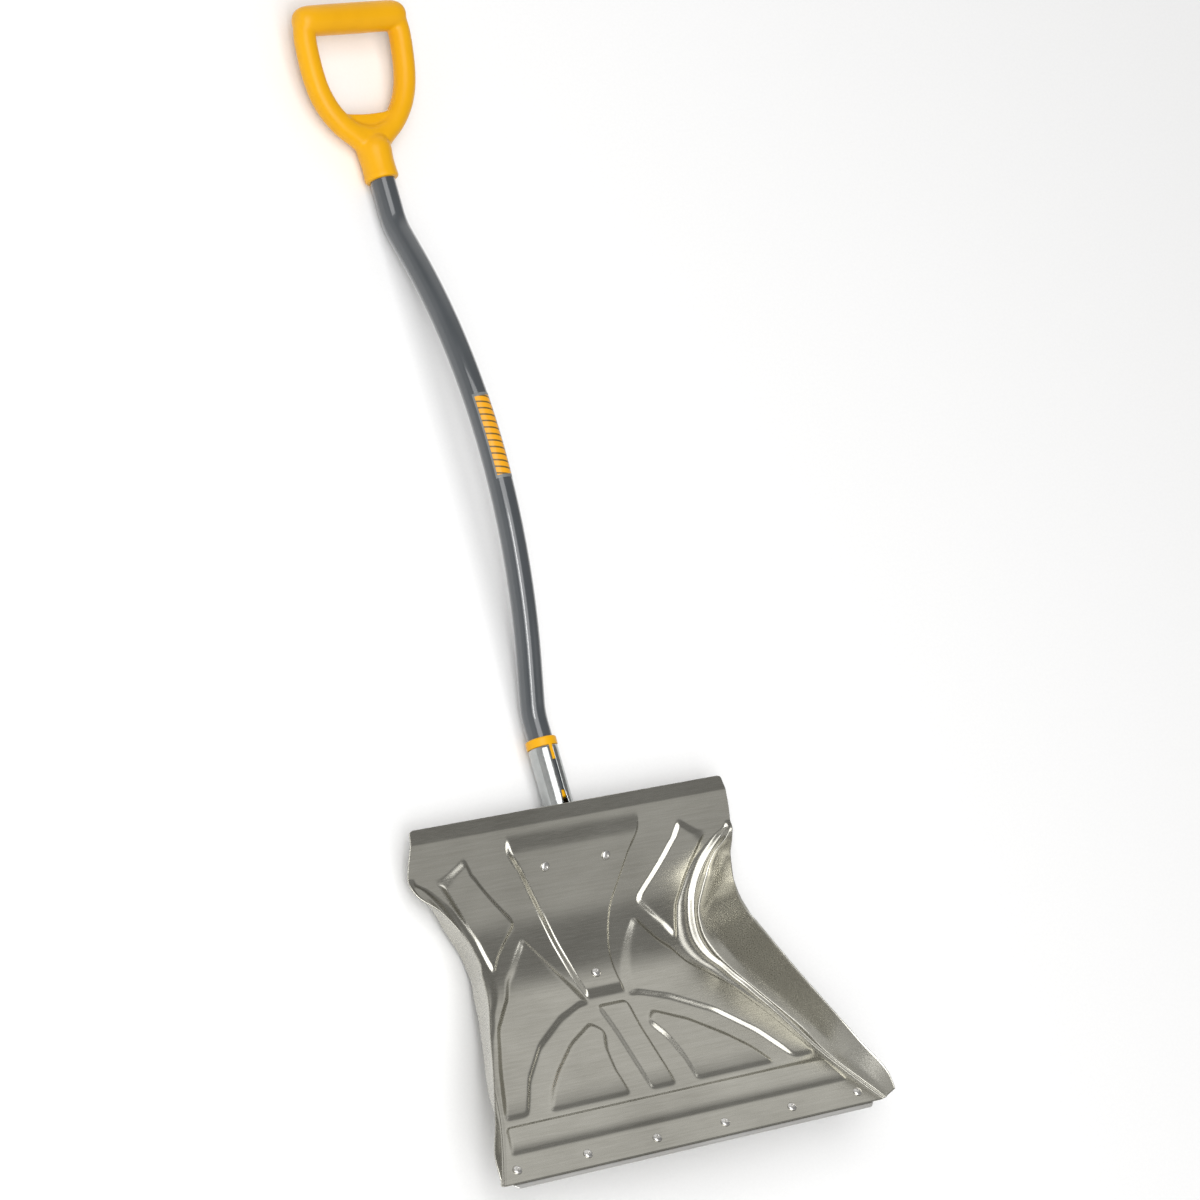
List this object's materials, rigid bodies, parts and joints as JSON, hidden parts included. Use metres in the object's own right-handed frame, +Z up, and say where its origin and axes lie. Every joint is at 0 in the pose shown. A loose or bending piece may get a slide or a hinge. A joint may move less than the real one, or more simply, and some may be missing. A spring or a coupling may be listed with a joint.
{
  "type": "snow shovel",
  "caption": "Snow shovel with a stamped aluminium blade on a rolled steel socket, a bent painted steel shaft and a moulded D-shaped grip.",
  "frame": {"origin": "on the ground under the middle of the shovel's overall box, with the shovel lying on its back", "axes": "+X across the blade, +Y along the shovel from the blade to the grip, +Z up, the side that carries snow facing up"},
  "size_m": [0.5288, 1.3516, 0.1306],
  "materials": {
    "blade_aluminium": "brushed",
    "rivet_aluminium": "satin",
    "wear_strip_steel": "satin",
    "socket_steel": "bright zinc plated",
    "screw_steel": "zinc plated",
    "shaft_paint": "glossy powder coat",
    "label_film": "satin printed film",
    "trim_plastic": "satin",
    "grip_plastic": "satin"
  },
  "bodies": {
    "root": {"blade": "blade_aluminium", "wear_strip": "wear_strip_steel", "lip_rivet_1": "rivet_aluminium", "lip_rivet_2": "rivet_aluminium", "lip_rivet_3": "rivet_aluminium", "lip_rivet_4": "rivet_aluminium", "lip_rivet_5": "rivet_aluminium", "lip_rivet_6": "rivet_aluminium", "socket": "socket_steel", "socket_rivet_left": "rivet_aluminium", "socket_rivet_right": "rivet_aluminium", "socket_rivet_lower": "rivet_aluminium", "socket_screw": "screw_steel", "collar": "trim_plastic", "shaft": "shaft_paint", "shaft_plug": "trim_plastic", "shaft_label": "label_film", "d_grip": "grip_plastic", "grip_screw": "screw_steel"}
  },
  "joints": []
}
